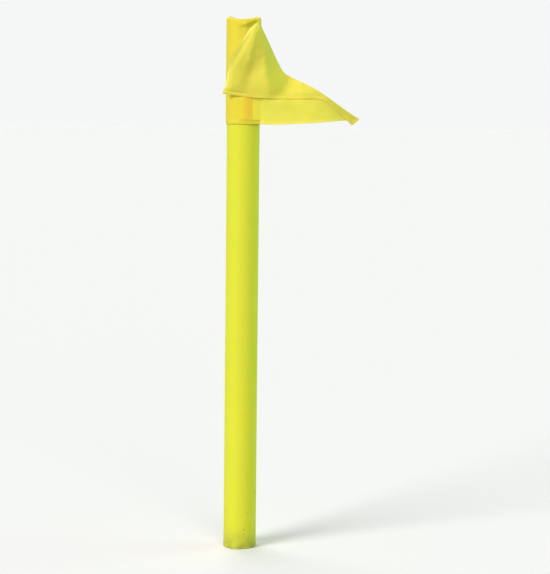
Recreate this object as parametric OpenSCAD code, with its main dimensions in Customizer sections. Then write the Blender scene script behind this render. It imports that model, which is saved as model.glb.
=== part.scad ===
// Corner flag post for a sports field: a foam post in a vinyl cover that drops over a ground stake,
// with a cloth flag whose sewn pocket is pulled over the top like a pillowcase.
// Millimetres. +Z is up. The origin is the centre of the foot, on the ground.
// +X is the side that the flag streams to, and -Y is the side that its folded corner hangs on.

/* [Post] */
// Height of the post above the ground
post_h = 1524; // [1200:1:1900]
// Outside diameter of the covered post
post_d = 95; // [70:1:130]
// Thickness of the vinyl cover
cover_t = 1.2; // [0.6:0.1:2.5]
// Thickness of the disc that closes the foot
foot_t = 3; // [2:0.5:8]
// Thickness of the disc that closes the top
lid_t = 2; // [1:0.5:6]
// Width of the welded tape that closes the cover down the back
tape_w = 25; // [12:1:40]
// Thickness of the welded tape
tape_t = 0.5; // [0.3:0.1:0.7]

/* [Stake pipe] */
// Outside diameter of the pipe inside the foam
pipe_d = 33.4; // [25:0.1:45]
// Bore of the pipe, which slips over the ground stake
pipe_bore = 26.6; // [15:0.1:36]

/* [Flag] */
// Thickness that stands for the flag cloth
cloth_t = 0.6; // [0.4:0.1:1.2]
// Height of the pocket, from its hem to the top of the post
pocket_h = 292; // [220:1:400]
// How far the tip of the flag reaches from the post's side
fly = 288; // [200:1:420]
// Rise of the bottom edge from the pocket to the tip
fly_rise = 17; // [0:1:40]
// Width of the stitched edge of the pocket
fin_w = 10; // [6:1:20]
// Angle of the stitched edge round the pocket, from the side towards the front
seam_deg = 38; // [10:1:60]
// Height of the front corner above the pocket's hem
flap_up = 88; // [50:1:140]
// How far the front corner stands out past the post's side
flap_out = 7; // [2:1:15]
// How far the flap's folds stand off the pocket
flap_lift = 18; // [1:0.5:24]
// Height of the two ears of the pocket's top seam
ear_h = 13; // [6:1:25]
// Height of the top seam between the ears
crest_h = 2; // [1:0.5:5]

/* [Fits] */
// Gap between the pieces inside the cover
fit_gap = 0.2; // [0.1:0.05:0.4]
// Gap between the cover and the pocket
pocket_gap = 1.2; // [0.8:0.1:2]
// Gap between layers of cloth
cloth_gap = 0.3; // [0.2:0.1:0.6]

/* [Hidden] */
$fn = 96;

post_r = post_d / 2;
inner_d = post_d - 2 * cover_t - 2 * fit_gap;   // what fits inside the cover
pocket_r = post_r + pocket_gap;                  // inside of the pocket
pocket_out = pocket_r + cloth_t;                 // outside of the pocket
hem_z = post_h - pocket_h;                       // the pocket's lower edge
pocket_top = post_h + cloth_gap;                 // underside of the pocket's top
hem_h = 12;                                      // the turned-up hem is this deep
panel_y = -pocket_out * sin(seam_deg);           // depth of the stitched edge and of the panel
fin_x = pocket_out * cos(seam_deg) + fin_w;      // the panel starts here

// The fold from the top of the post to the tip sags: steep at first, then shallow past the kink.
tip_x = post_r + fly;
tip_z = hem_z + fly_rise;
kink_x = post_r + 0.245 * fly;
kink_z = post_h - 0.5 * pocket_h;
bend_x = post_r + 0.5 * fly;
bend_z = kink_z - 0.14 * pocket_h;
root_z = post_h - 0.02 * pocket_h;

// The flap is the flag's upper corner, folded forward and lying across the front of the post.
flap_x = -(post_r + flap_out);
flap_z = hem_z + flap_up;
brow_x = -0.6 * post_r;                          // its upper border bulges here, where it rounds the post
brow_z = post_h - 0.38 * pocket_h;
corner_x = tip_x - 0.08 * fly;                   // the flag's lower outer corner, folded under the tip
corner_z = hem_z + 2;
lap_r = pocket_out + flap_lift;                  // its inner face where it rounds the pocket
flat_y = panel_y - cloth_t / 2 - cloth_gap;      // its inner face where it lies on the panel
reach_x = kink_x;                                // it comes down onto the panel here
leave_a = 215;                                   // angle where it leaves the pocket on the left
flap_free = 30;                                  // its line runs on this far at both ends, and is cut

module tube(d_out, d_in, z0, z1) {
    translate([0, 0, z0])
        difference() {
            cylinder(d = d_out, h = z1 - z0);
            translate([0, 0, -1]) cylinder(d = d_in, h = z1 - z0 + 2);
        }
}

// An outline drawn in X and Z, given depth from y0 back to y1.
module upright(points, y0, y1) {
    translate([0, y1, 0])
        rotate([90, 0, 0])
            linear_extrude(height = y1 - y0) polygon(points);
}

// A curved strip seen from above, from angle a0 to a1.
module arc_strip(r, t, a0, a1) {
    reach = 3 * r;
    intersection() {
        difference() {
            circle(r = r + t);
            circle(r = r);
        }
        polygon([[0, 0], reach * [cos(a0), sin(a0)], reach * [cos((a0 + a1) / 2), sin((a0 + a1) / 2)],
                 reach * [cos(a1), sin(a1)]]);
    }
}

function on_circle(r, a) = r * [cos(a), sin(a)];

module core_pipe() {
    color("whitesmoke") tube(pipe_d, pipe_bore, 0, post_h - lid_t - fit_gap);
}

module foam_core() {
    color("lightgrey") tube(inner_d, pipe_d + 2 * fit_gap, foot_t, post_h - lid_t - fit_gap);
}

module foot_disc() {
    color("gold") tube(inner_d, pipe_d + 2 * fit_gap, 0, foot_t);
}

module lid_disc() {
    color("gold") translate([0, 0, post_h - lid_t]) cylinder(d = inner_d, h = lid_t);
}

module post_cover() {
    color("gold") tube(post_d, post_d - 2 * cover_t, 0, post_h);
}

// The tape lies on the back of the cover, over the join.
module cover_tape() {
    half = asin(tape_w / post_d);
    color("goldenrod")
        linear_extrude(height = post_h) arc_strip(post_r, tape_t, 90 - half, 90 + half);
}

// A tube of cloth with a flat top, and the fin where its two layers are stitched together.
module flag_pocket() {
    color("yellow") {
        difference() {
            union() {
                translate([0, 0, hem_z + hem_h])
                    cylinder(r = pocket_out, h = pocket_top + cloth_t - hem_z - hem_h);
                translate([0, panel_y - cloth_t, hem_z + hem_h])
                    cube([fin_x, 2 * cloth_t, pocket_top - hem_z - hem_h]);
            }
            translate([0, 0, hem_z]) cylinder(r = pocket_r, h = pocket_top - hem_z);
        }
    }
}

// The lower edge of the pocket, turned up double.
module pocket_hem() {
    color("gold")
        difference() {
            union() {
                translate([0, 0, hem_z]) cylinder(r = pocket_out + cloth_t, h = hem_h);
                translate([0, panel_y - cloth_t, hem_z]) cube([fin_x, 2 * cloth_t, hem_h]);
            }
            translate([0, 0, hem_z - 1]) cylinder(r = pocket_r, h = hem_h + 2);
        }
}

// The seam that closes the pocket's top, standing up in an ear at each side.
module pocket_crest() {
    steps = 12;
    half = pocket_out - 3;
    foot = pocket_top + cloth_t;
    color("khaki")
        upright(concat([[half, foot], [-half, foot]],
                       [for (i = [0 : steps])
                           let (s = 2 * i / steps - 1)
                           [s * half, foot + crest_h + (ear_h - crest_h) * pow(abs(s), 2.5)]]),
                -cloth_t, cloth_t);
}

// The rear layer: from the pocket's stitched edge out to the tip, and up to the fold.
module flag_panel() {
    slope = (root_z - kink_z) / (kink_x - post_r);
    color("yellow")
        upright([[fin_x, hem_z], [tip_x - 0.15 * fly, tip_z - 3], [tip_x, tip_z],
                 [bend_x, bend_z], [kink_x, kink_z], [fin_x, root_z - slope * (fin_x - post_r)]],
                panel_y - cloth_t / 2, panel_y + cloth_t / 2);
}

// The flap's line seen from above, a distance out from its inner face: off the pocket at the left,
// round its front, and over to the panel.
function flap_line(out) =
    let (steps = 12,
         r = lap_r + out,
         landing = [reach_x, flat_y - out],
         meet_a = 360 + atan2(landing[1], landing[0]) - acos(r / norm(landing)),
         step = (meet_a - leave_a) / steps)
    concat([on_circle(r, leave_a) + flap_free * [sin(leave_a), -cos(leave_a)]],
           [for (i = [0 : steps]) on_circle(r / cos(step / 2), leave_a + i * step)],
           [landing, [tip_x + flap_free, landing[1]]]);

module flap_plan() {
    inner = flap_line(0);
    outer = flap_line(cloth_t);
    polygon(concat(inner, [for (i = [len(outer) - 1 : -1 : 0]) outer[i]]));
}

module flag_flap() {
    color("khaki")
        intersection() {
            translate([0, 0, hem_z - 10]) linear_extrude(height = pocket_h + 20) flap_plan();
            upright([[post_r, root_z], [brow_x, brow_z], [flap_x, flap_z], [0, flap_z - 10],
                     [bend_x, flap_z - 12], [tip_x - 0.38 * fly, flap_z - 6], [corner_x, corner_z],
                     [tip_x, tip_z], [bend_x, bend_z], [kink_x, kink_z]],
                    -2 * post_d, post_d);
        }
}

core_pipe();
foam_core();
foot_disc();
lid_disc();
post_cover();
cover_tape();
flag_pocket();
pocket_hem();
pocket_crest();
flag_panel();
flag_flap();
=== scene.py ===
"""A corner flag post: a padded post in a yellow vinyl cover, with a nylon flag pulled over its top.

Lengths in the shape functions are millimetres, and MM turns them into the metres of the frame.
"""
import math

import bmesh
import bpy
import numpy as np
from mathutils import Matrix, Vector


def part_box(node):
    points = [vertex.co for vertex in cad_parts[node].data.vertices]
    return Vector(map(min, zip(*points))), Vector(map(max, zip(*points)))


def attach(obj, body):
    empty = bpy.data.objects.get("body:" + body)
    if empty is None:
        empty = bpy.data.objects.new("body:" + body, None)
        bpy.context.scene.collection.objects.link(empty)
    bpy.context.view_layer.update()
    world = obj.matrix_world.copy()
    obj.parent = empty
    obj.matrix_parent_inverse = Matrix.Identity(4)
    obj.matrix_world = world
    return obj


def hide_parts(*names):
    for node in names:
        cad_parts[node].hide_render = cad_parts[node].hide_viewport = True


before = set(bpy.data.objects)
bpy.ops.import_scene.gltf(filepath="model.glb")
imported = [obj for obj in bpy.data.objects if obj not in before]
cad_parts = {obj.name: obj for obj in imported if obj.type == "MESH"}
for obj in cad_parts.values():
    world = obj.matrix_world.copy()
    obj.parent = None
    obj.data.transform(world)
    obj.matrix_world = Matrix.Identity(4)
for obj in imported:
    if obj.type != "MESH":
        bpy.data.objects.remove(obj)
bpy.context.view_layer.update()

# ----------------------------------------------------------------------------------------------------------
# The view. A long lens a little under the top of the post, tipped down, as someone standing a few steps off
# sees it.
# ----------------------------------------------------------------------------------------------------------
eye = Vector((0.040, -4.63, 1.235))
aim = Vector((0.096, 0.0, 0.764))
roll = math.radians(0.64)

camera = bpy.data.objects.new("camera", bpy.data.cameras.new("camera"))
camera.data.lens = 100.9
camera.data.sensor_width = 36.0
camera.data.clip_end = 2000.0
camera.location = eye
camera.rotation_mode = "QUATERNION"
facing = (aim - eye).to_track_quat("-Z", "Y")
camera.rotation_quaternion = facing @ Matrix.Rotation(roll, 3, "Z").to_quaternion()
bpy.context.scene.collection.objects.link(camera)
bpy.context.scene.camera = camera

bpy.context.scene.view_settings.view_transform = "Standard"

# ----------------------------------------------------------------------------------------------------------
# The studio. A pale floor and surround, one wide soft lamp at the front left, and weak ones at the front,
# the right and the back. All are far away, so that the floor is evenly lit.
# ----------------------------------------------------------------------------------------------------------
def hands_on(tree):
    """Two short ways into a node tree: add places a node with its values set, and join links one socket to
    others."""
    def add(kind, **values):
        node = tree.nodes.new(kind)
        for key, value in values.items():
            if key in node.inputs:
                node.inputs[key].default_value = value
            else:
                setattr(node, key, value)
        return node

    def join(source, *targets):
        for target in targets:
            tree.links.new(source, target)

    return add, join


def nodes_of(owner):
    """The ways into the node tree of a material or world, which is emptied first."""
    owner.use_nodes = True
    owner.node_tree.nodes.clear()
    return hands_on(owner.node_tree)


def shown(add, join):
    """One for what is seen straight, in gloss or through clear glass, and none for what only lights the
    object. Light that soaks through cloth counts as both transmitted and diffuse, so the diffuse part is
    taken off."""
    path = add("ShaderNodeLightPath")
    clear = add("ShaderNodeMath", operation="SUBTRACT")
    either = add("ShaderNodeMath", operation="MAXIMUM")
    any_of = add("ShaderNodeMath", operation="MAXIMUM")
    join(path.outputs["Is Transmission Ray"], clear.inputs[0])
    join(path.outputs["Is Diffuse Ray"], clear.inputs[1])
    join(path.outputs["Is Camera Ray"], either.inputs[0])
    join(path.outputs["Is Glossy Ray"], either.inputs[1])
    join(either.outputs[0], any_of.inputs[0])
    join(clear.outputs[0], any_of.inputs[1])
    return any_of.outputs[0]


def make_floor():
    """A square floor at the foot of the post, matt and pale."""
    mesh = bpy.data.meshes.new("floor")
    half = 600.0
    corners = [(-half, -half, 0), (half, -half, 0), (half, half, 0), (-half, half, 0)]
    mesh.from_pydata(corners, [], [(0, 1, 2, 3)])
    floor = bpy.data.objects.new("floor", mesh)
    bpy.context.scene.collection.objects.link(floor)
    finish = bpy.data.materials.new("pale floor")
    add, join = nodes_of(finish)
    out = add("ShaderNodeOutputMaterial")
    seen = add("ShaderNodeBsdfDiffuse", Color=(0.945, 0.915, 0.95, 1))
    bounced = add("ShaderNodeBsdfDiffuse", Color=(0.45, 0.46, 0.44, 1))
    either = add("ShaderNodeMixShader")
    join(shown(add, join), either.inputs[0])
    join(bounced.outputs[0], either.inputs[1])
    join(seen.outputs[0], either.inputs[2])
    join(either.outputs[0], out.inputs["Surface"])
    mesh.materials.append(finish)


def make_surround():
    """A white surround for the camera and for reflections, and a softer grey one that lights the object."""
    world = bpy.data.worlds.new("surround")
    bpy.context.scene.world = world
    add, join = nodes_of(world)
    out = add("ShaderNodeOutputWorld")
    seen = add("ShaderNodeBackground", Color=(0.92, 0.925, 0.93, 1), Strength=1.0)
    lights = add("ShaderNodeBackground", Color=(0.95, 0.98, 1.0, 1), Strength=0.30)
    either = add("ShaderNodeMixShader")
    join(shown(add, join), either.inputs[0])
    join(lights.outputs[0], either.inputs[1])
    join(seen.outputs[0], either.inputs[2])
    join(either.outputs[0], out.inputs["Surface"])


def make_sun(name, towards, strength, spread, colour):
    """A distant lamp, seen in the direction towards, whose disc is spread degrees wide."""
    lamp = bpy.data.lights.new(name, "SUN")
    lamp.energy = strength
    lamp.angle = math.radians(spread)
    lamp.color = colour
    holder = bpy.data.objects.new(name, lamp)
    holder.rotation_mode = "QUATERNION"
    holder.rotation_quaternion = (-Vector(towards)).to_track_quat("-Z", "Y")
    bpy.context.scene.collection.objects.link(holder)


make_floor()
make_surround()
make_sun("key lamp", (-0.75, -0.62, 0.58), 2.26, 28, (1.0, 0.985, 0.96))
make_sun("front lamp", (0.28, -0.93, 0.30), 0.86, 26, (1.0, 0.91, 0.90))
make_sun("side lamp", (0.96, 0.16, 0.20), 1.18, 40, (0.36, 1.0, 0.39))
make_sun("back lamp", (-0.35, 0.80, 0.80), 1.00, 50, (1.0, 1.0, 0.97))

# ----------------------------------------------------------------------------------------------------------
# The vinyl cover. Coated yellow cloth wrapped round the foam into a tube 95 mm across, with its edges welded
# under a tape down the back and a double welded band at the foot. It replaces the plain tube.
# ----------------------------------------------------------------------------------------------------------
MM = 0.001


def lay_sheet(name, points, across, along, ring=False):
    """A mesh of four-sided faces through a grid of points in mm, shaped (rows, columns, 3). across and along
    are the distances in metres that its map holds, one pair a point. A ring's last column joins its
    first."""
    rows, columns = points.shape[:2]
    index = np.arange(rows * columns).reshape(rows, columns)
    if ring:
        index = np.concatenate([index, index[:, :1]], axis=1)
    faces = np.stack([index[:-1, :-1], index[:-1, 1:], index[1:, 1:], index[1:, :-1]], axis=-1).reshape(-1, 4)
    mesh = bpy.data.meshes.new(name)
    mesh.vertices.add(rows * columns)
    mesh.vertices.foreach_set("co", (points * MM).astype(np.float32).ravel())
    mesh.loops.add(faces.size)
    mesh.loops.foreach_set("vertex_index", faces.ravel().astype(np.int32))
    mesh.polygons.add(len(faces))
    mesh.polygons.foreach_set("loop_start", np.arange(0, faces.size, 4, dtype=np.int32))
    mesh.polygons.foreach_set("use_smooth", np.ones(len(faces), dtype=bool))
    mesh.update(calc_edges=True)
    if ring:
        step = across[:, -1:] - across[:, -2:-1]
        across = np.concatenate([across, across[:, -1:] + step], axis=1)
        along = np.concatenate([along, along[:, :1]], axis=1)
    wide = across.shape[1]
    spots = np.arange(rows * wide).reshape(rows, wide)
    corners = np.stack([spots[:-1, :-1], spots[:-1, 1:], spots[1:, 1:], spots[1:, :-1]], axis=-1).ravel()
    chart = mesh.uv_layers.new(name="cloth")
    pairs = np.stack([across.ravel()[corners], along.ravel()[corners]], axis=-1)
    chart.data.foreach_set("uv", pairs.astype(np.float32).ravel())
    mesh.validate()
    piece = bpy.data.objects.new(name, mesh)
    bpy.context.scene.collection.objects.link(piece)
    return piece


cover_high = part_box("post_cover")[1]
post_h = cover_high[2] / MM
post_r = round(2 * cover_high[0] / MM) / 2     # to the nearest half, as the frame's tube is many-sided
layer_t = 0.35                      # how much one more layer of the cloth stands out


def smooth(x, start, stop):
    """An S curve from 0 at start to 1 at stop, flat at both ends."""
    t = np.clip((x - start) / (stop - start), 0, 1)
    return t * t * (3 - 2 * t)


def cover_swell(a, z):
    """How far the cover stands off its even radius at the angle a and the height z: waves round the tube and
    along it a tenth or two of a millimetre high, faint creases near the foot, and the double band there."""
    swell = 0.16 * np.sin(2 * a + z / 210 + 0.6) + 0.10 * np.sin(3 * a - z / 130 + 2.0)
    swell += 0.06 * np.sin(5 * a + z / 61) * np.sin(z / 170 + 1.0)
    swell += 0.05 * np.sin(4 * a + z / 23) * np.sin(z / 97 + 0.4)
    creases = 0.22 * np.sin(9 * a + 1.5 * np.sin(2 * a)) * np.exp(-((z - 34) / 26) ** 2)
    band = layer_t * (1 - smooth(z, 21, 22.5))
    bare = smooth(z, 0.5, 3) * (1 - smooth(z, post_h - 3, post_h - 0.5))
    return (swell + creases + band - layer_t) * bare


def cover_points():
    """A strip wrapped once round, with its last edge lapped 8 degrees over its first at the back. Going up,
    the profile turns out from under the foot round a small corner, runs up the side and turns in again at
    the top. The radius adds the swell at each angle and height."""
    corner, turned_in = 2.0, 6.0
    turn = np.linspace(0, np.pi / 2, 7)
    foot = np.stack([post_r - corner + corner * np.sin(turn), corner - corner * np.cos(turn)])
    rise = np.concatenate([np.linspace(corner + 1, 30, 24), np.linspace(36, post_h - corner - 1, 230)])
    side = np.stack([np.full(rise.size, post_r), rise])
    head = np.stack([post_r - corner + corner * np.cos(turn), post_h - corner + corner * np.sin(turn)])
    inner = post_r - turned_in
    radius, height = np.concatenate([[[inner], [0.05]], foot, side, head, [[inner], [post_h]]], axis=1)
    angle = np.pi / 2 + np.radians(np.linspace(-4, 364, 197))
    a, z = np.meshgrid(angle, height)
    r = radius[:, None] + cover_swell(a, z) + layer_t * smooth(a, angle[-1] - 0.22, angle[-1] - 0.14)
    run = np.concatenate([[0], np.cumsum(np.hypot(np.diff(radius), np.diff(height)))])
    return (np.stack([r * np.cos(a), r * np.sin(a), z], axis=-1), a * post_r * MM,
            np.repeat(run[:, None], angle.size, axis=1) * MM)


vinyl_cover = lay_sheet("vinyl_cover", *cover_points())
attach(vinyl_cover, "root")
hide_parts("post_cover")


def shader_group(name, inputs, outputs):
    """A node group with named sockets. inputs and outputs are (name, kind, default) and (name, kind)."""
    tree = bpy.data.node_groups.new(name, "ShaderNodeTree")
    for label, kind, default in inputs:
        socket = tree.interface.new_socket(label, in_out="INPUT", socket_type="NodeSocket" + kind)
        if default is not None:
            socket.default_value = default
    for label, kind in outputs:
        tree.interface.new_socket(label, in_out="OUTPUT", socket_type="NodeSocket" + kind)
    add, join = hands_on(tree)

    def math_node(operation, a, b=0.0, c=0.0):
        node = add("ShaderNodeMath", operation=operation)
        for socket, value in zip(node.inputs, (a, b, c)):
            if isinstance(value, (int, float)):
                socket.default_value = value
            else:
                tree.links.new(value, socket)
        return node.outputs[0]

    return tree, add, join, math_node, add("NodeGroupInput").outputs, add("NodeGroupOutput").inputs


def make_drift():
    """Slow change of colour from place to place, as dye lots and weather leave it: two sizes of noise,
    stretched to the full range, mix the second colour into the first."""
    tree, add, join, calc, given, result = shader_group(
        "colour drift",
        [("Place", "Vector", None), ("Patches", "Float", 3.0), ("Amount", "Float", 0.5),
         ("Colour", "Color", (1, 1, 1, 1)), ("Other", "Color", (0, 0, 0, 1))],
        [("Colour", "Color"), ("Level", "Float")])
    broad = add("ShaderNodeTexNoise", Detail=3.0, Roughness=0.55)
    fine = add("ShaderNodeTexNoise", Detail=4.0, Roughness=0.6)
    join(given["Place"], broad.inputs["Vector"], fine.inputs["Vector"])
    join(given["Patches"], broad.inputs["Scale"])
    join(calc("MULTIPLY", given["Patches"], 9.0), fine.inputs["Scale"])
    level = calc("MULTIPLY_ADD", fine.outputs["Fac"], 0.35, calc("MULTIPLY", broad.outputs["Fac"], 0.65))
    ramp = add("ShaderNodeMapRange")
    ramp.inputs["From Min"].default_value = 0.36
    ramp.inputs["From Max"].default_value = 0.64
    join(level, ramp.inputs["Value"])
    mix = add("ShaderNodeMix", data_type="RGBA")
    join(calc("MULTIPLY", ramp.outputs[0], given["Amount"]), mix.inputs[0])
    join(given["Colour"], mix.inputs[6])
    join(given["Other"], mix.inputs[7])
    join(mix.outputs[2], result["Colour"])
    join(ramp.outputs[0], result["Level"])
    return tree


def make_weave():
    """Plain weave. Each thread is a rounded ridge, the height of |cos| across it, and the two sets of
    threads take turns on top: the product of their two sines picks which one shows."""
    tree, add, join, calc, given, result = shader_group(
        "plain weave", [("Map", "Vector", None), ("Threads", "Float", 2000.0)], [("Height", "Float")])
    part = add("ShaderNodeSeparateXYZ")
    join(given["Map"], part.inputs[0])
    turns = [calc("MULTIPLY", calc("MULTIPLY", part.outputs[i], given["Threads"]), math.pi) for i in (0, 1)]
    sines = [calc("SINE", turn) for turn in turns]
    over = calc("MULTIPLY_ADD", calc("MULTIPLY", sines[0], sines[1]), 0.5, 0.5)
    ridges = [calc("ABSOLUTE", calc("COSINE", turn)) for turn in turns]
    one = calc("MULTIPLY", ridges[0], over)
    two = calc("MULTIPLY", ridges[1], calc("SUBTRACT", 1.0, over))
    join(calc("ADD", one, two), result["Height"])
    return tree


def make_grime():
    """Where dirt stays: most at the ground, fading out by a set height, broken up by noise, and a thin
    scatter of smudges everywhere."""
    tree, add, join, calc, given, result = shader_group(
        "grime",
        [("Place", "Vector", None), ("Reach", "Float", 0.1), ("Smudges", "Float", 0.1)],
        [("Mask", "Float")])
    part = add("ShaderNodeSeparateXYZ")
    join(given["Place"], part.inputs[0])
    height = calc("MINIMUM", calc("DIVIDE", part.outputs[2], given["Reach"]), 1.0)
    low = calc("POWER", calc("SUBTRACT", 1.0, height), 2.0)
    broken = add("ShaderNodeTexNoise", Scale=38.0, Detail=6.0, Roughness=0.68)
    smudge = add("ShaderNodeTexNoise", Scale=7.0, Detail=5.0, Roughness=0.62)
    join(given["Place"], broken.inputs["Vector"], smudge.inputs["Vector"])
    edge = calc("MULTIPLY", low, calc("MULTIPLY_ADD", broken.outputs["Fac"], 1.7, -0.35))
    blots = calc("MAXIMUM", calc("MULTIPLY_ADD", smudge.outputs["Fac"], 6.0, -3.5), 0.0)
    spots = calc("MULTIPLY", blots, given["Smudges"])
    both = calc("ADD", calc("MAXIMUM", edge, 0.0), spots)
    join(calc("MINIMUM", both, 1.0), result["Mask"])
    return tree


drift, weave, grime = make_drift(), make_weave(), make_grime()


def start_finish(name):
    """A new material's output, and ways to add nodes, join them and place one of the groups."""
    finish = bpy.data.materials.new(name)
    add, join = nodes_of(finish)

    def place(group, **values):
        node = add("ShaderNodeGroup", node_tree=group)
        for key, value in values.items():
            node.inputs[key].default_value = value
        return node

    return finish, add, join, place, add("ShaderNodeOutputMaterial")


def vinyl_finish(name, colour, other, reach, scuffs=()):
    """Coated cloth: yellow paste over a coarse base cloth, whose threads print through. It drifts a little
    in colour and in roughness, and is stained at the ground. A scuff is a dark spot with a ragged edge: the
    distance from its middle, plus noise, over its width."""
    finish, add, join, place, out = start_finish(name)
    spot = add("ShaderNodeTexCoord")
    tint = place(drift, Patches=4.0, Amount=0.55, Colour=colour, Other=other)
    threads = place(weave, Threads=900.0)
    dirt = place(grime, Reach=reach, Smudges=0.10)
    skin = add("ShaderNodeTexNoise", Scale=900.0, Detail=2.0)
    ragged = add("ShaderNodeTexNoise", Scale=420.0, Detail=3.0)
    join(spot.outputs["Object"], tint.inputs["Place"], dirt.inputs["Place"], skin.inputs["Vector"],
         ragged.inputs["Vector"])
    join(spot.outputs["UV"], threads.inputs["Map"])
    stained = add("ShaderNodeMix", data_type="RGBA")
    stained.inputs[7].default_value = (0.20, 0.19, 0.06, 1)
    join(dirt.outputs["Mask"], stained.inputs[0])
    join(tint.outputs["Colour"], stained.inputs[6])
    shade = stained.outputs[2]
    for middle, wide in scuffs:
        far = add("ShaderNodeVectorMath", operation="DISTANCE")
        far.inputs[1].default_value = middle
        join(spot.outputs["Object"], far.inputs[0])
        rough_far = add("ShaderNodeMath", operation="MULTIPLY_ADD")
        rough_far.inputs[1].default_value = wide
        join(ragged.outputs["Fac"], rough_far.inputs[0])
        join(far.outputs["Value"], rough_far.inputs[2])
        mark = add("ShaderNodeMapRange", interpolation_type="SMOOTHSTEP")
        for key, value in (("From Min", 1.5 * wide), ("From Max", 0.7 * wide), ("To Max", 0.75)):
            mark.inputs[key].default_value = value
        join(rough_far.outputs[0], mark.inputs["Value"])
        scuffed = add("ShaderNodeMix", data_type="RGBA")
        scuffed.inputs[7].default_value = (0.07, 0.075, 0.02, 1)
        join(mark.outputs[0], scuffed.inputs[0])
        join(shade, scuffed.inputs[6])
        shade = scuffed.outputs[2]
    body = add("ShaderNodeBsdfPrincipled")
    body.inputs["Specular IOR Level"].default_value = 0.35
    join(shade, body.inputs["Base Color"])
    rough = add("ShaderNodeMapRange")
    rough.inputs["To Min"].default_value = 0.50
    rough.inputs["To Max"].default_value = 0.62
    join(tint.outputs["Level"], rough.inputs["Value"])
    join(rough.outputs[0], body.inputs["Roughness"])
    cloth = add("ShaderNodeBump", Strength=0.55, Distance=0.00012)
    grain = add("ShaderNodeBump", Strength=0.35, Distance=0.0001)
    join(threads.outputs["Height"], cloth.inputs["Height"])
    join(skin.outputs["Fac"], grain.inputs["Height"])
    join(cloth.outputs[0], grain.inputs["Normal"])
    join(grain.outputs[0], body.inputs["Normal"])
    join(body.outputs[0], out.inputs["Surface"])
    return finish


scuffs = [     # marks of boots and mowers: the middle of each, and how wide it is
    ((0.0420, -0.0222, 0.164), 0.0034), ((0.0200, -0.0431, 0.106), 0.0026),
    ((0.0130, -0.0457, 0.058), 0.0030), ((-0.0300, 0.0368, 0.210), 0.0040),
]
vinyl = vinyl_finish("yellow vinyl", (0.745, 0.74, 0.030, 1), (0.67, 0.705, 0.030, 1), 0.09, scuffs)
vinyl_cover.data.materials.append(vinyl)

# ----------------------------------------------------------------------------------------------------------
# The back tape. A strip of the same coated cloth, 25 mm wide, welded down the back over the join. The
# welding bar leaves a pressed line along each edge and fine cross marks. It replaces the plain strip.
# ----------------------------------------------------------------------------------------------------------
tape_high = np.array(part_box("cover_tape")[1]) / MM
tape_t = 0.75
tape_edge = 3.0      # from the tape's edge in to a pressed line
bar_pitch = 3.4      # from one of the bar's cross marks to the next


def tape_points():
    """A strip on the cover's back: rows up it, columns across it. Its height over the cover is 0.75 mm, less
    in two pressed lines 3 mm in from the edges, where a cosine along the strip leaves the bar's marks. The
    first and last columns and rows go down into the cover."""
    half = tape_high[0]
    across = np.concatenate([[-half], np.linspace(-half, half, 75), [half]])
    foot, head = 3.0, tape_high[2] - 3
    height = np.concatenate([[foot], np.linspace(foot, head, 900), [head]])
    s, z = np.meshgrid(across, height)
    a = np.pi / 2 - np.arcsin(s / post_r)
    press = np.exp(-((np.abs(s) - half + tape_edge) / 1.1) ** 2)
    over = tape_t - press * (0.25 + 0.08 * np.cos(z * 2 * np.pi / bar_pitch))
    over -= 0.35 * smooth(np.abs(s), half - 5, half)
    over[[0, -1]] = -0.15
    over[:, [0, -1]] = -0.15
    r = post_r + cover_swell(a, z) + over
    return np.stack([r * np.cos(a), r * np.sin(a), z], axis=-1), s * MM, z * MM


back_tape = lay_sheet("back_tape", *tape_points())
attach(back_tape, "root")
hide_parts("cover_tape")
tape_vinyl = vinyl_finish("welded vinyl", (0.74, 0.74, 0.030, 1), (0.66, 0.70, 0.030, 1), 0.09)
back_tape.data.materials.append(tape_vinyl)

# ----------------------------------------------------------------------------------------------------------
# The end discs. Rounds of the same coated cloth, welded into the cover's two ends. The lower one has a hole
# for the ground stake's pipe, and the upper one is under the flag. Their shapes are the frame's own.
# ----------------------------------------------------------------------------------------------------------
for node in ("foot_disc", "lid_disc"):
    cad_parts[node].data.materials.clear()
    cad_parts[node].data.materials.append(tape_vinyl)

# ----------------------------------------------------------------------------------------------------------
# The foam core and the pipe. Grey-white closed-cell foam, cut to length, round an extruded white pipe that
# takes the ground stake. Only their lower ends show. Their shapes are the frame's own.
# ----------------------------------------------------------------------------------------------------------
def foam_finish():
    """Closed cells about a millimetre across, cut open: pits from a cell pattern."""
    finish, add, join, place, out = start_finish("white foam")
    spot = add("ShaderNodeTexCoord")
    tint = place(drift, Patches=12.0, Amount=0.6, Colour=(0.80, 0.80, 0.77, 1), Other=(0.70, 0.70, 0.66, 1))
    cells = add("ShaderNodeTexVoronoi", Scale=900.0)
    join(spot.outputs["Object"], tint.inputs["Place"], cells.inputs["Vector"])
    body = add("ShaderNodeBsdfPrincipled", Roughness=0.85)
    pits = add("ShaderNodeBump", Strength=0.7, Distance=0.0004)
    join(cells.outputs["Distance"], pits.inputs["Height"])
    join(pits.outputs[0], body.inputs["Normal"])
    join(tint.outputs["Colour"], body.inputs["Base Color"])
    join(body.outputs[0], out.inputs["Surface"])
    return finish


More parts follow.
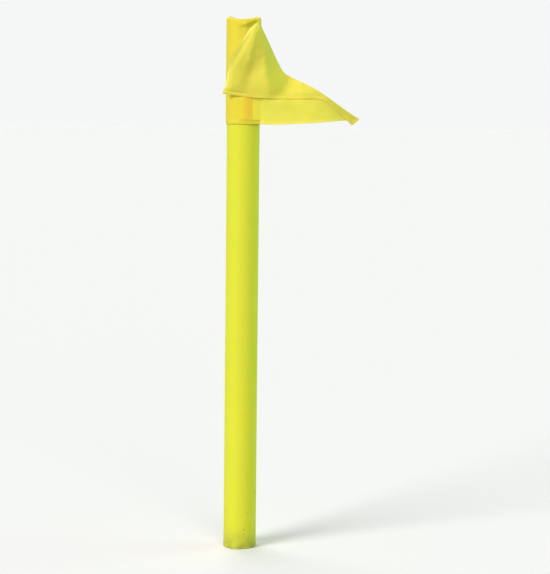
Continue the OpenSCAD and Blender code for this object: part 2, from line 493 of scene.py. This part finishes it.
def pipe_finish():
    """Extruded white pipe: smooth, with faint lines drawn along it by the die."""
    finish, add, join, place, out = start_finish("white pipe")
    spot = add("ShaderNodeTexCoord")
    tint = place(drift, Patches=20.0, Amount=0.5, Colour=(0.82, 0.82, 0.79, 1), Other=(0.72, 0.72, 0.68, 1))
    along = add("ShaderNodeMapping")
    along.inputs["Scale"].default_value = (700.0, 700.0, 6.0)
    lines = add("ShaderNodeTexNoise", Scale=1.0, Detail=2.0)
    join(spot.outputs["Object"], tint.inputs["Place"], along.inputs["Vector"])
    join(along.outputs[0], lines.inputs["Vector"])
    body = add("ShaderNodeBsdfPrincipled", Roughness=0.38)
    drawn = add("ShaderNodeBump", Strength=0.3, Distance=0.0001)
    join(lines.outputs["Fac"], drawn.inputs["Height"])
    join(drawn.outputs[0], body.inputs["Normal"])
    join(tint.outputs["Colour"], body.inputs["Base Color"])
    join(body.outputs[0], out.inputs["Surface"])
    return finish


for node, finish in (("foam_core", foam_finish()), ("core_pipe", pipe_finish())):
    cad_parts[node].data.materials.clear()
    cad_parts[node].data.materials.append(finish)

# ----------------------------------------------------------------------------------------------------------
# The flag's sleeve. The hoist end of the nylon flag is doubled over the post and sewn shut along the top, so
# that it goes over the post like a pillowcase. The top seam's two ends stand up as ears. It replaces the
# plain pocket.
# ----------------------------------------------------------------------------------------------------------
hem_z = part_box("pocket_hem")[0][2] / MM
sleeve_r = -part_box("pocket_hem")[0][0] / MM - 0.3
sleeve_shift = -1.0                 # the wind holds the slack at the left
ear_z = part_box("pocket_crest")[1][2] / MM
seam_turn = math.radians(-38)       # where the stitched edge is round the post, from the field side
seam_reach = sleeve_r + 11          # how far it stands out from the post's middle
shoulder_z = post_h - 7.0           # where the wall starts to round over to the top
crest_half = 41                     # half the length of the seam across the top


def sleeve_radius(a):
    """The sleeve's outline from above: a circle, and the two straight runs that touch it and meet at the
    seam. Along a straight run the radius is the circle's over the cosine of the angle from where it leaves
    the circle."""
    half = np.arccos(sleeve_r / seam_reach)
    off = np.abs((a - seam_turn + np.pi) % (2 * np.pi) - np.pi)
    return sleeve_r / np.cos(np.clip(half - off, 0, None))


def sleeve_points():
    """A tube that closes over the post. Rows go up the tube and then along a squared-off arc, a
    superellipse, from the wall to the seam across the top. The seam is a line over the post's middle that
    sags between its two ends. Sines of the angle and the height add slack folds, and one bulge with a sharp
    lower side is the drawn corner fold."""
    turn = np.linspace(0, np.pi / 2, 44)
    wall = np.concatenate([np.linspace(hem_z, shoulder_z, 160)[:-1], np.full(turn.size, shoulder_z)])
    inward = np.concatenate([np.ones(159), np.cos(turn) ** (2 / 6)])
    lift = np.concatenate([np.zeros(159), np.sin(turn) ** (2 / 5)])
    angle = np.linspace(0, 2 * np.pi, 288, endpoint=False)
    a, z = np.meshgrid(angle, wall)
    k, h = inward[:, None], lift[:, None]
    c, s = np.cos(a), np.sin(a)
    rise = (ear_z - post_h - 5.5) * (smooth(c, 0.05, 0.95) + smooth(-c, 0.35, 0.95))
    slack = smooth(z, hem_z + 12, hem_z + 90)
    folds = 0.45 * np.sin(6 * a + (z - hem_z) / 70 + 0.8) * slack
    folds += 0.35 * np.sin(3 * a - (z - hem_z) / 38) * np.sin(z / 31) * slack
    folds += 0.6 * np.sin(13 * a + 0.7) * smooth(z, post_h - 70, post_h - 8)
    turned = np.minimum(a - math.radians(282), 0) / 0.42 + np.maximum(a - math.radians(298), 0) / 0.24
    level = post_h + 6 - 19 * smooth(a, math.radians(328), math.radians(262))
    above = z + 10 * h - level
    corner = 5.3 * np.exp(-turned ** 2 - (above / np.where(above > 0, 15, 6)) ** 2)
    r = sleeve_radius(a) + np.maximum(folds, -0.2) + corner * (1 - smooth(h, 0.75, 1))
    x = k * r * c + (1 - k) * crest_half * c + sleeve_shift * smooth(z, hem_z, hem_z + 30)
    y = k * r * s
    up = z + h * (11 + rise * (1 - 0.55 * k))
    run = np.cumsum(np.concatenate([[0], np.hypot(np.diff(wall + 12 * lift), np.diff(sleeve_r * inward))]))
    return (np.stack([x, y, up], axis=-1), a * sleeve_r * MM,
            np.repeat(run[:, None], angle.size, axis=1) * MM)


def weld(piece):
    """Merges the points of a piece's mesh that share a place, as they do where two edges are sewn
    together."""
    made = bmesh.new()
    made.from_mesh(piece.data)
    bmesh.ops.remove_doubles(made, verts=made.verts, dist=0.00002)
    made.to_mesh(piece.data)
    made.free()


flag_sleeve = lay_sheet("flag_sleeve", *sleeve_points(), ring=True)
weld(flag_sleeve)
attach(flag_sleeve, "root")
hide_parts("flag_pocket", "pocket_crest", "pocket_hem")


def nylon_finish(name, colour, other, through, share, rim=None):
    """Thin dyed cloth of fine threads. Part of the light that falls on it scatters back and part comes
    through, and what comes through is deeper and greener. A rim is a colour that it runs into at the two
    sides of its map, given with the four distances across at which that starts and stops, so that painted
    shade in its colour fades out towards its sides."""
    finish, add, join, place, out = start_finish(name)
    spot = add("ShaderNodeTexCoord")
    tint = place(drift, Patches=9.0, Amount=0.6, Colour=colour, Other=other)
    threads = place(weave, Threads=2400.0)
    slubs = add("ShaderNodeTexNoise", Scale=160.0, Detail=3.0)
    join(spot.outputs["Object"], tint.inputs["Place"], slubs.inputs["Vector"])
    join(spot.outputs["UV"], threads.inputs["Map"])
    ribs = add("ShaderNodeBump", Strength=0.5, Distance=0.00006)
    slack = add("ShaderNodeBump", Strength=0.5, Distance=0.0002)
    join(threads.outputs["Height"], ribs.inputs["Height"])
    join(slubs.outputs["Fac"], slack.inputs["Height"])
    join(ribs.outputs[0], slack.inputs["Normal"])
    front = add("ShaderNodeBsdfPrincipled", Roughness=0.62)
    front.inputs["Specular IOR Level"].default_value = 0.25
    front.inputs["Sheen Weight"].default_value = 0.12
    front.inputs["Sheen Roughness"].default_value = 0.4
    shade = tint.outputs["Colour"]
    if rim:
        part = add("ShaderNodeSeparateXYZ")
        join(spot.outputs["UV"], part.inputs[0])
        for start, stop in (rim[1:3], rim[4:2:-1]):
            fade = add("ShaderNodeMapRange", interpolation_type="SMOOTHSTEP")
            fade.inputs["From Min"].default_value = start
            fade.inputs["From Max"].default_value = stop
            join(part.outputs[0], fade.inputs["Value"])
            mix = add("ShaderNodeMix", data_type="RGBA")
            mix.inputs[6].default_value = rim[0]
            join(fade.outputs[0], mix.inputs[0])
            join(shade, mix.inputs[7])
            shade = mix.outputs[2]
    join(shade, front.inputs["Base Color"])
    join(slack.outputs[0], front.inputs["Normal"])
    behind = add("ShaderNodeBsdfTranslucent", Color=through)
    join(slack.outputs[0], behind.inputs["Normal"])
    both = add("ShaderNodeMixShader", Fac=share)
    join(front.outputs[0], both.inputs[1])
    join(behind.outputs[0], both.inputs[2])
    join(both.outputs[0], out.inputs["Surface"])
    return finish


sleeve_nylon = nylon_finish("nylon over the post", (0.84, 0.715, 0.045, 1), (0.82, 0.655, 0.038, 1),
                            (0.80, 0.60, 0.02, 1), 0.08)
flag_sleeve.data.materials.append(sleeve_nylon)

# ----------------------------------------------------------------------------------------------------------
# The sleeve's hem and seam. The lower edge is turned up 12 mm and stitched. Beside the seam the cut edges
# are folded back against the post, so that a band of the sleeve 40 mm wide is three layers thick. The band's
# deeper orange, fading out at its two sides, is painted shade. The free flag's edge is lapped 15 mm over it
# at the seam.
# ----------------------------------------------------------------------------------------------------------
hem_h, hem_row = 12.0, 10.2         # the hem's height, and that of its stitches
band_from, band_to = -101, -54      # where the band is round the post, in degrees
lap_from, lap_to = -56.5, -38.6     # where the lap is
band_row = math.radians(-99.6)      # where the band's stitches are
band_foot, band_head = hem_z + 11.0, post_h - 100


def on_sleeve(a, z, out):
    """The places out from the sleeve's wall at the angles a and heights z, with no folds."""
    r = sleeve_radius(a) + out
    x = r * np.cos(a) + sleeve_shift * smooth(z, hem_z, hem_z + 30)
    return np.stack([x, r * np.sin(a), z + 0 * a], axis=-1)


def seam_wander(z):
    """How far a seam strays round the post at each height, in radians: a slow sine and a quicker one."""
    return 0.012 * np.sin(z / 37) + 0.006 * np.sin(z / 11)


def hem_points():
    """The profile of a turned-up edge carried round the sleeve: up the inside, round the edge and up the
    outside, half a millimetre thick, and pressed in at the stitches and at its upper edge."""
    turn = np.linspace(-np.pi, 0, 9)
    rim = 0.3 + 0.3 * np.sin(turn)
    up = np.concatenate([np.linspace(6, 0.4, 5), rim, np.linspace(0.9, hem_h - 0.4, 24), [hem_h, hem_h]])
    out = np.concatenate([np.full(5, -0.15), 0.15 + 0.32 * np.cos(turn), np.full(24, 0.47), [0.36, -0.05]])
    out = out - 0.22 * np.exp(-((up - hem_row) / 0.5) ** 2) * (out > 0.3)
    a, z = np.meshgrid(np.linspace(0, 2 * np.pi, 288, endpoint=False), hem_z + up)
    pucker = 0.07 * np.sin(a * sleeve_r / 1.6) * np.exp(-((z - hem_z - 9) / 3.5) ** 2)
    run = np.cumsum(np.concatenate([[0], np.hypot(np.diff(up), np.diff(out))]))
    points = on_sleeve(a, z, out[:, None] + pucker * (out[:, None] > 0.3))
    return points, a * sleeve_r * MM, np.repeat(run[:, None], a.shape[1], axis=1) * MM


def band_points(start, stop, off):
    """A strip of the sleeve's wall between two angles, from the hem up to under the hanging corner. It
    stands off the wall by off mm, and its two upright edges and two ends go down into it."""
    side = np.linspace(math.radians(start), math.radians(stop), 40)
    side = np.concatenate([side[:1], side, side[-1:]])
    height = np.concatenate([[band_foot], np.linspace(band_foot, band_head, 100), [band_head]])
    a, z = np.meshgrid(side, height)
    a = a + seam_wander(z)
    out = off + 0.10 * np.sin(z / 19 + 5 * a)
    out[[0, -1]] = -0.3
    out[:, [0, -1]] = -0.3
    return on_sleeve(a, z, out), a * sleeve_r * MM, z * MM


def lay_beads(name, points, tips):
    """A mesh of many small closed bodies. points is shaped (bodies, rings, columns, 3) and tips (bodies, 2,
    3), in mm. Each ring's last column joins its first, and the end rings close on the tips."""
    count, rings, columns = points.shape[:3]
    start = (np.arange(count) * (rings * columns + 2))[:, None]
    ring = np.arange(rings * columns).reshape(rings, columns)
    after = np.roll(ring, -1, axis=1)
    sides = np.stack([ring[:-1], after[:-1], after[1:], ring[1:]], axis=-1).reshape(1, -1)
    first = np.stack([after[0], ring[0], np.full(columns, ring.size)], axis=-1).reshape(1, -1)
    last = np.stack([ring[-1], after[-1], np.full(columns, ring.size + 1)], axis=-1).reshape(1, -1)
    corners = np.concatenate([(start + part).ravel() for part in (sides, first, last)]).astype(np.int32)
    sizes = np.repeat([4, 3], [count * sides.size // 4, 2 * count * columns]).astype(np.int32)
    spots = np.concatenate([points.reshape(count, -1, 3), tips], axis=1).reshape(-1, 3) * MM
    mesh = bpy.data.meshes.new(name)
    mesh.vertices.add(len(spots))
    mesh.vertices.foreach_set("co", spots.astype(np.float32).ravel())
    mesh.loops.add(corners.size)
    mesh.loops.foreach_set("vertex_index", corners)
    mesh.polygons.add(sizes.size)
    mesh.polygons.foreach_set("loop_start", np.concatenate([[0], np.cumsum(sizes)[:-1]]).astype(np.int32))
    mesh.polygons.foreach_set("use_smooth", np.ones(sizes.size, dtype=bool))
    mesh.update(calc_edges=True)
    mesh.validate()
    made = bmesh.new()
    made.from_mesh(mesh)
    bmesh.ops.recalc_face_normals(made, faces=made.faces)
    made.to_mesh(mesh)
    made.free()
    piece = bpy.data.objects.new(name, mesh)
    bpy.context.scene.collection.objects.link(piece)
    return piece


def stitch_bodies(path, out, pitch=3.3, long=2.7, wide=0.62):
    """Stitches along a path: points in mm, with the direction out from the cloth at each. Each stitch is a
    spindle, whose width is the root of a sine along its length, lying on the cloth and dipping into it at
    both ends."""
    run = np.concatenate([[0], np.linalg.norm(np.diff(path, axis=0), axis=1).cumsum()])
    at = np.arange(pitch, run[-1] - pitch, pitch)

    def along(values, where):
        return np.stack([np.interp(where, run, values[:, i]) for i in range(3)], axis=-1)

    share = np.linspace(0, 1, 6)
    where = at[:, None] + (share - 0.5) * long
    middle = along(path, where.ravel()).reshape(*where.shape, 3)
    up = along(out, at)
    up /= np.linalg.norm(up, axis=1, keepdims=True)
    ahead = middle[:, -1] - middle[:, 0]
    ahead /= np.linalg.norm(ahead, axis=1, keepdims=True)
    aside = np.cross(ahead, up)
    lean = 0.12 * np.sin(at * 1.7)[:, None, None] * (share - 0.5)[None, :, None] * aside[:, None]
    middle = middle + lean + (0.30 * np.sin(np.pi * share) - 0.14)[None, :, None] * up[:, None]
    turn = np.linspace(0, 2 * np.pi, 6, endpoint=False)
    size = wide / 2 * np.sqrt(np.sin(np.pi * share[1:-1]))
    ring = (np.cos(turn)[:, None] * aside[:, None, None] + np.sin(turn)[:, None] * up[:, None, None])
    return middle[:, 1:-1, None] + size[None, :, None, None] * ring, middle[:, [0, -1]]


def join_bodies(*sets):
    """The bodies of several runs of stitches, one after another."""
    return tuple(np.concatenate(part) for part in zip(*sets))


def thread_finish():
    """Spun thread, a little paler than the cloth, with its twist as slanting ridges."""
    finish, add, join, place, out = start_finish("yellow thread")
    spot = add("ShaderNodeTexCoord")
    tint = place(drift, Patches=60.0, Amount=0.7, Colour=(0.92, 0.84, 0.16, 1), Other=(0.84, 0.72, 0.08, 1))
    twist = add("ShaderNodeTexWave", Scale=900.0, Distortion=1.5, bands_direction="DIAGONAL")
    join(spot.outputs["Object"], tint.inputs["Place"], twist.inputs["Vector"])
    body = add("ShaderNodeBsdfPrincipled", Roughness=0.6)
    body.inputs["Sheen Weight"].default_value = 0.2
    plies = add("ShaderNodeBump", Strength=0.5, Distance=0.0001)
    join(twist.outputs["Fac"], plies.inputs["Height"])
    join(plies.outputs[0], body.inputs["Normal"])
    join(tint.outputs["Colour"], body.inputs["Base Color"])
    join(body.outputs[0], out.inputs["Surface"])
    return finish


# The band's deeper orange is painted shade. It fades into the sleeve's colour between these four distances
# round the post.
band_shade_fade_sides = [math.radians(side) * sleeve_r * MM for side in (band_from, -77, -66, band_to)]
band_nylon_with_painted_shade = nylon_finish("band nylon with painted shade", (0.96, 0.67, 0.045, 1), (0.94, 0.62, 0.040, 1),
                             (0.80, 0.60, 0.02, 1), 0.06, ((0.88, 0.735, 0.045, 1), *band_shade_fade_sides))
lapped_nylon = nylon_finish("lapped nylon", (0.97, 0.88, 0.080, 1), (0.96, 0.84, 0.065, 1),
                            (0.70, 0.62, 0.02, 1), 0.08)
thread = thread_finish()
sleeve_hem = lay_sheet("sleeve_hem", *hem_points(), ring=True)
seam_band = lay_sheet("seam_band", *band_points(band_from, band_to, 0.62))
seam_lap = lay_sheet("seam_lap", *band_points(lap_from, lap_to, 1.15))
around = np.linspace(math.radians(-36), math.radians(322), 900)
outward = np.stack([np.cos(around), np.sin(around), 0 * around], axis=-1)
upright = np.linspace(band_foot + 3, band_head - 2, 360)
level = np.tile([math.cos(band_row), math.sin(band_row), 0], (upright.size, 1))
sleeve_stitches = lay_beads("sleeve_stitches", *join_bodies(
    stitch_bodies(on_sleeve(around, np.full(around.size, hem_z + hem_row), 0.30), outward),
    stitch_bodies(on_sleeve(band_row + seam_wander(upright), upright, 0.68), level)))
for piece, finish in ((sleeve_hem, sleeve_nylon), (seam_band, band_nylon_with_painted_shade), (seam_lap, lapped_nylon),
                      (sleeve_stitches, thread)):
    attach(piece, "root")
    piece.data.materials.append(finish)

# ----------------------------------------------------------------------------------------------------------
# The free flag. One square of nylon sewn to the sleeve's seam. Wind from the front left streams it to the
# right, and its upper outer corner has blown over to the front, so that it hangs in folds across the post.
# ----------------------------------------------------------------------------------------------------------
# The lines that bound it as points (across the field, up from the sleeve's hem). Heights here are for a
# sleeve 300 tall, and are scaled to this one. The fold and the two free borders are each in stages that end
# together.
rise_scale = (post_h - hem_z) / 300
corner_top = (42, 300)
fold_stages = [
    [corner_top, (53, 274), (67, 246), (80, 218), (94, 188), (104, 168)],
    [(104, 168), (112, 154), (124, 144), (155, 129), (190, 112), (226, 90), (256, 69)],
    [(256, 69), (290, 45), (332, 17)],
]
front_stages = [
    [corner_top, (12, 270), (-4, 244), (-22, 214), (-37, 184), (-44.5, 156), (-48, 126), (-51.5, 106),
     (-61, 87)],
    [(-61, 87), (-30, 83), (0, 79.5), (30, 76.5), (100, 74.5), (170, 75.5), (213, 75.5), (232, 70)],
    [(232, 70), (262, 45), (288, 21), (311, -1)],
]
rear_stages = [
    [corner_top, (44, 150), (44.6, 0)],
    [(44.6, 0), (90, -1), (150, 2), (200, 5)],
    [(200, 5), (270, 12), (332, 17)],
]
stage_ends = (0.40, 0.80, 1.0)

# How far each layer stands towards the front, at points (across, up): the hanging front layer, and the rear
# one. The front layer also comes down onto the rear one at the touching points.
front_depth = [
    (43, 299, 40), (32, 285, 49), (42, 285, 46), (49, 285, 40),
    (12, 271, 54), (21, 271, 58), (33, 271, 60), (45, 272, 51), (53, 272, 38),
    (-4, 244, 56), (5, 244, 60), (18, 244, 63), (30, 244, 65.5), (42, 244, 54), (52, 244, 46), (59, 244, 40),
    (67, 244, 24),
    (-22, 214, 55), (-13, 214, 59), (4, 214, 62.5), (21, 214, 65), (38, 214, 53), (54, 214, 46),
    (62, 214, 41),
    (72, 214, 25), (82, 214, 9),
    (-37, 184, 53), (-28, 184, 59), (-10, 186, 60.5), (6, 187, 61), (20, 187, 60.5), (34, 187, 51.5),
    (48, 187, 47),
    (62, 187, 43), (78, 187, 23), (94, 187, 4),
    (-44, 156, 53), (-35, 155, 60), (-24, 155, 59), (-8, 154, 56), (10, 153, 52), (24, 152, 48.5),
    (44, 152, 48.5),
    (64, 152, 50), (80, 152, 36), (96, 151, 20), (112, 152, 8),
    (-48, 126, 53), (-39, 126, 60.5), (-26, 125, 59), (-10, 124, 56.5), (16, 122, 50), (24, 122, 49),
    (46, 122, 51.5),
    (70, 122, 53.5),
    (84, 122, 44.5), (98, 122, 32), (112, 122, 20), (124, 122, 12), (136, 121, 10.5), (150, 120, 15),
    (162, 121, 23),
    (176, 114, 31),
    (-51, 104, 50), (-42, 103, 58), (-28, 102, 58.5), (-12, 100, 56), (14, 98, 50.5), (28, 97, 49.5),
    (58, 97, 51), (76, 97, 51),
    (88, 97, 46), (100, 97, 38), (112, 97, 30), (124, 97, 27), (138, 98, 29.5), (152, 98, 35),
    (170, 98, 40.5),
    (205, 98, 41.5),
    (-60, 86, 38), (-48, 84, 44.5), (-36, 83, 49), (-16, 81, 51.5), (10, 78, 50), (36, 76, 47.5),
    (62, 75, 45.5),
    (84, 74.5, 43.7),
]
touching = [
    (106, 74), (124, 74), (160, 75), (210, 75), (230, 71), (250, 56), (270, 38), (288, 21),
    (300, 12), (311, 0), (290, 44), (332, 17),
]
rear_depth = [
    (43, 300, 38), (43.5, 240, 37.8), (44, 180, 37.7), (44.3, 120, 37.6), (44.6, 60, 37.6), (44.6, 0, 37.6),
    (53, 272, 32), (67, 244, 18), (82, 214, 4), (94, 187, -1), (112, 152, 4), (66, 180, 30), (86, 120, 30),
    (53, 70, 41), (64, 71, 42), (60, 40, 40), (60, 5, 40.5), (90, 72, 41.5), (90, 40, 41), (95, 0, 43),
    (114, 98, 20),
    (116, 72, 40), (128, 120, 4), (148, 104, 18), (150, 72, 38.5), (150, 48, 39.5), (160, 3, 42),
    (190, 110, 34.5), (226, 88, 36), (230, 48, 38), (230, 8, 39),
    (244, 78, 34), (262, 60, 27), (290, 44, 15), (288, 16, 16),
    (332, 17, -3),
]
least_gap, touching_gap = 0.75, 0.4     # between the two layers, and between their plates where they touch


def staged_line(stages, shares):
    """The place on a line at each share of the way, whose stages end at the shares in stage_ends. Within a
    stage the share follows the length. The whole line is then rounded, by moving each of 800 points many
    times half way to the middle of its two neighbours."""
    marks, places = [0.0], [np.array(stages[0][0], float)]
    for start, stop, stage in zip((0.0, *stage_ends[:-1]), stage_ends, stages):
        stage = np.array(stage, float)
        run = np.linalg.norm(np.diff(stage, axis=0), axis=1).cumsum()
        marks += list(start + (stop - start) * run / run[-1])
        places += list(stage[1:])
    places = np.array(places)
    even = np.linspace(0, 1, 800)
    line = np.stack([np.interp(even, marks, places[:, i]) for i in (0, 1)], axis=-1)
    for _ in range(36):
        line[1:-1] = 0.5 * line[1:-1] + 0.25 * (line[:-2] + line[2:])
    return np.stack([np.interp(shares, even, line[:, i]) for i in (0, 1)], axis=-1)


def bent_plate(table, at):
    """The height at the places at, shaped (..., 2), of a thin plate bent to pass very near the heights in a
    table of (across, up, height). It is a tilted plane plus, for each point of the table, a weight times r²
    log r, where r is the distance to it."""
    slackness = 1e-5     # how much the plate may miss its heights
    table = np.asarray(table, float) / 100
    spots, heights = table[:, :2], table[:, 2]

    def kernel(a, b):
        r2 = ((a[:, None] - b[None]) ** 2).sum(axis=-1) + 1e-12
        return 0.5 * r2 * np.log(r2)

    n = len(spots)
    plane = np.concatenate([np.ones((n, 1)), spots], axis=1)
    system = np.zeros((n + 3, n + 3))
    system[:n, :n] = kernel(spots, spots) + slackness * np.eye(n)
    system[:n, n:] = plane
    system[n:, :n] = plane.T
    weights = np.linalg.solve(system, np.concatenate([heights, np.zeros(3)]))
    flat = np.asarray(at, float).reshape(-1, 2) / 100
    found = kernel(flat, spots) @ weights[:n] + weights[n] + flat @ weights[n + 1:]
    return found.reshape(np.shape(at)[:-1]) * 100


touching = np.array(touching, float)
laid = np.column_stack([touching, bent_plate(rear_depth, touching) + touching_gap])
front_depth = np.concatenate([front_depth, laid])
fold_line = staged_line(fold_stages, np.linspace(0, 1, 400))


def layer_gap(at):
    """The space between the plates of the two layers, never less than least_gap: a rounded step up from
    it."""
    spare = (bent_plate(front_depth, at) - bent_plate(rear_depth, at) - least_gap) / 2
    return least_gap + 2 * np.logaddexp(0, spare)


fold_gap = layer_gap(fold_line)


def flag_depth(at, front):
    """How far forward the flag is at the places at. It is the rear plate, plus for the front layer the gap.
    Near the fold both run into a half circle as wide as the gap there: its height is root(1 - (1 - s)²)
    where s is the distance from the fold over the circle's radius. The stitches pinch the front layer in
    along its lower hem. Small waves spread from the top corner and along the pull."""
    flat = at.reshape(-1, 2)
    apart = np.linalg.norm(flat[:, None] - fold_line[None], axis=-1)
    nearest = apart.argmin(axis=1)
    radius = np.maximum(fold_gap[nearest] / 2, 0.5)
    share = np.clip(apart.min(axis=1) / radius, 0, 1)
    circle = np.sqrt(np.clip(1 - (1 - share) ** 2, 0, 1))
    rear = bent_plate(rear_depth, flat)
    if front:
        depth = rear + radius + (layer_gap(flat) - radius) * circle
    else:
        above = flat[:, 1] - np.interp(flat[:, 0], *np.transpose(rear_stages[1] + rear_stages[2][1:]))
        lip = 3.2 * np.exp(-np.clip(above, 0, None) / 6)
        lip = lip * smooth(flat[:, 0], 52, 90) * smooth(flat[:, 0], 290, 250)
        depth = rear + radius * (1 - circle) + lip
    away = flat - np.array(corner_top)
    reach = np.linalg.norm(away, axis=1)
    bearing = np.arctan2(away[:, 0], -away[:, 1])
    above = flat[:, 1] - np.interp(flat[:, 0], *np.transpose(front_stages[1]))
    pinch = 1.5 * np.exp(-((above - 9.5) / 2.6) ** 2) * smooth(flat[:, 0], 22, -12) * front
    depth = depth - pinch * share
    waves = 0.010 * np.sin(15 * bearing + 0.6) + 0.006 * np.sin(31 * bearing + 0.02 * reach)
    waves = waves * np.clip(reach, 0, 130) * np.exp(-(reach / 190) ** 2)
    waves += 0.5 * np.sin(flat[:, 0] / 21 + flat[:, 1] / 7.5) * smooth(flat[:, 0], 60, 160)
    waves += 0.35 * np.sin(flat[:, 0] / 9.0 - flat[:, 1] / 13 + 1.0) * smooth(reach, 60, 150)
    return (depth + waves * share).reshape(at.shape[:-1])


def stand_up(flat, depth):
    """Places seen from the front and their depths, as points of the frame in mm."""
    return np.stack([flat[..., 0], -depth, flat[..., 1] * rise_scale + hem_z], axis=-1)


def flag_points():
    """A grid whose rows cross both layers by straight lines, seen from the front: from the seam or the lower
    edge to the fold, and back from the fold to the upper or outer edge. Depth is a function of the place."""
    t = np.concatenate([np.linspace(0, 0.4, 90)[1:], np.linspace(0.4, 1, 170)[1:]])
    d = 1 - np.cos(np.linspace(0, np.pi / 2, 110))
    lines = (staged_line(stages, t) for stages in (fold_stages, front_stages, rear_stages))
    fold, brow, hoist = (line[:, None] for line in lines)
    d = d[None, :, None]
    front = (1 - d) * fold + d * brow
    rear = (1 - d) * fold + d * hoist
    flat = np.concatenate([rear[:, ::-1], front[:, 1:]], axis=1)
    depth = np.concatenate([flag_depth(rear, False)[:, ::-1], flag_depth(front, True)[:, 1:]], axis=1)
    return stand_up(flat, depth)


def spread(points):
    """Distances along the rows and down the columns of a grid of points, as a map for the weave."""
    across = np.linalg.norm(np.diff(points, axis=1), axis=-1).cumsum(axis=1)
    down = np.linalg.norm(np.diff(points, axis=0), axis=-1).cumsum(axis=0)
    return np.pad(across, ((0, 0), (1, 0))) * MM, np.pad(down, ((1, 0), (0, 0))) * MM


cloth_points = flag_points()
flag_cloth = lay_sheet("flag_cloth", cloth_points, *spread(cloth_points))
weld(flag_cloth)
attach(flag_cloth, "root")
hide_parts("flag_panel", "flag_flap")
flag_cloth.data.materials.append(
    nylon_finish("yellow nylon", (0.96, 0.84, 0.105, 1), (0.95, 0.79, 0.085, 1), (0.50, 0.84, 0.05, 1), 0.24))

# ----------------------------------------------------------------------------------------------------------
# The flag's hems. Its free edges are turned over twice, pressed and run down with one row of stitches: 8 mm
# wide along the top and bottom, and 9 mm down the fly. Their colours hold painted light: paler than the
# cloth along the top, the bottom and the end, as painted highlight, and deeper down the fly, as painted
# shade.
# ----------------------------------------------------------------------------------------------------------
def border_line(stages, start, stop, step=2.0):
    """Places about step mm apart on a line of stages, between two shares of it, and the length run to
    each."""
    line = staged_line(stages, np.linspace(start, stop, 900))
    run = np.concatenate([[0], np.linalg.norm(np.diff(line, axis=0), axis=1).cumsum()])
    even = np.linspace(0, run[-1], max(int(run[-1] / step), 8))
    return np.stack([np.interp(even, run, line[:, i]) for i in (0, 1)], axis=-1), even


def edge_hem(line, run, front, wide, corners):
    """A turned-over edge along a border, with the cloth to its left. The profile goes up the back of the
    cloth, round the edge and over the front to the stitched line, half a millimetre thick, with a pressed
    line at the stitches. Towards an end it narrows in step with the distance to it, by the tangent of the
    corner's angle, as a mitre does. The second result is the stitched line."""
    ahead = np.gradient(line, axis=0)
    ahead /= np.linalg.norm(ahead, axis=1, keepdims=True)
    inward = np.stack([-ahead[:, 1], ahead[:, 0]], axis=-1)
    reach = np.minimum(wide, 0.6 + np.minimum(run * corners[0], (run[-1] - run) * corners[1]))
    turn = np.linspace(-np.pi / 2, np.pi / 2, 7)
    v = np.concatenate([np.linspace(1, 0.06, 10), 0 * turn, np.linspace(0.06, 1, 16), [1.0]])
    tip = np.concatenate([np.zeros(10), 0.35 * np.cos(turn), np.zeros(17)])
    off = np.concatenate([np.full(10, -0.42), 0.42 * np.sin(turn), np.full(16, 0.42), [0.0]])
    off[0] = -0.05
    off = off * (1 - 0.45 * np.exp(-((v - 0.86) / 0.05) ** 2))
    place = line[None] + (v[:, None] * reach - tip[:, None])[..., None] * inward[None]
    pucker = 0.10 * np.sin(run / 1.7 + 2 * np.sin(run / 23)) * np.exp(-((v[:, None] - 0.86) / 0.25) ** 2)
    depth = flag_depth(place, front) + off[:, None] + pucker * np.sign(off)[:, None]
    return stand_up(place, depth).transpose(1, 0, 2), line + (0.86 * reach)[:, None] * inward


def seam_stitches(seam, front, off):
    """A run of stitches along places on the cloth, off its middle by off mm towards the front."""
    path = stand_up(seam, flag_depth(seam, front) + off)
    out = np.zeros_like(path)
    out[:, 1] = -np.sign(off)
    return stitch_bodies(path, out)


# Each hem's line, whether it is on the front layer, its width, and the tangents of the angles of its two
# mitres.
hem_edges = {
    "top_hem": (border_line(front_stages, 0.02, 0.4), True, 8.0, (9, 1.5)),
    "fly_hem": (border_line(front_stages, 0.4, 1.0), True, 9.0, (1.5, 1.7)),
    "end_hem": (border_line([[(311, -1), (332, 17)]] * 3, 0, 1), True, 8.0, (1.7, 1.2)),
    "bottom_hem": (border_line(rear_stages, 0.4, 1.0), False, 8.0, (9, 0.9)),
}
through_hem = (0.50, 0.80, 0.04, 1)
# Painted light in the hems' colours: folded and pressed are paler than the cloth, a painted highlight, and
# deeper is a deeper colour for the fly hem, painted shade.
folded = nylon_finish("hem nylon, painted highlight", (0.96, 0.86, 0.14, 1), (0.95, 0.82, 0.12, 1), through_hem, 0.13)
pressed = nylon_finish("top hem nylon, painted highlight", (0.97, 0.89, 0.15, 1), (0.96, 0.86, 0.13, 1), through_hem, 0.08)
deeper = nylon_finish("fly hem nylon, painted shade", (0.95, 0.80, 0.10, 1), (0.93, 0.76, 0.08, 1), through_hem, 0.12)
hem_finishes_with_painted_light = {"top_hem": pressed, "fly_hem": deeper, "end_hem": folded, "bottom_hem": folded}
flag_hems, runs = [], []
for name, (border, front, wide, corners) in hem_edges.items():
    points, seam = edge_hem(*border, front, wide, corners)
    hem = lay_sheet(name, points, *spread(points))
    weld(hem)
    hem.data.materials.append(hem_finishes_with_painted_light[name])
    flag_hems.append(hem)
    runs += [seam_stitches(seam, front, off) for off in (0.45, -0.45)]
flag_stitches = lay_beads("flag_stitches", *join_bodies(*runs))
flag_stitches.data.materials.append(thread)
for piece in (*flag_hems, flag_stitches):
    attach(piece, "root")
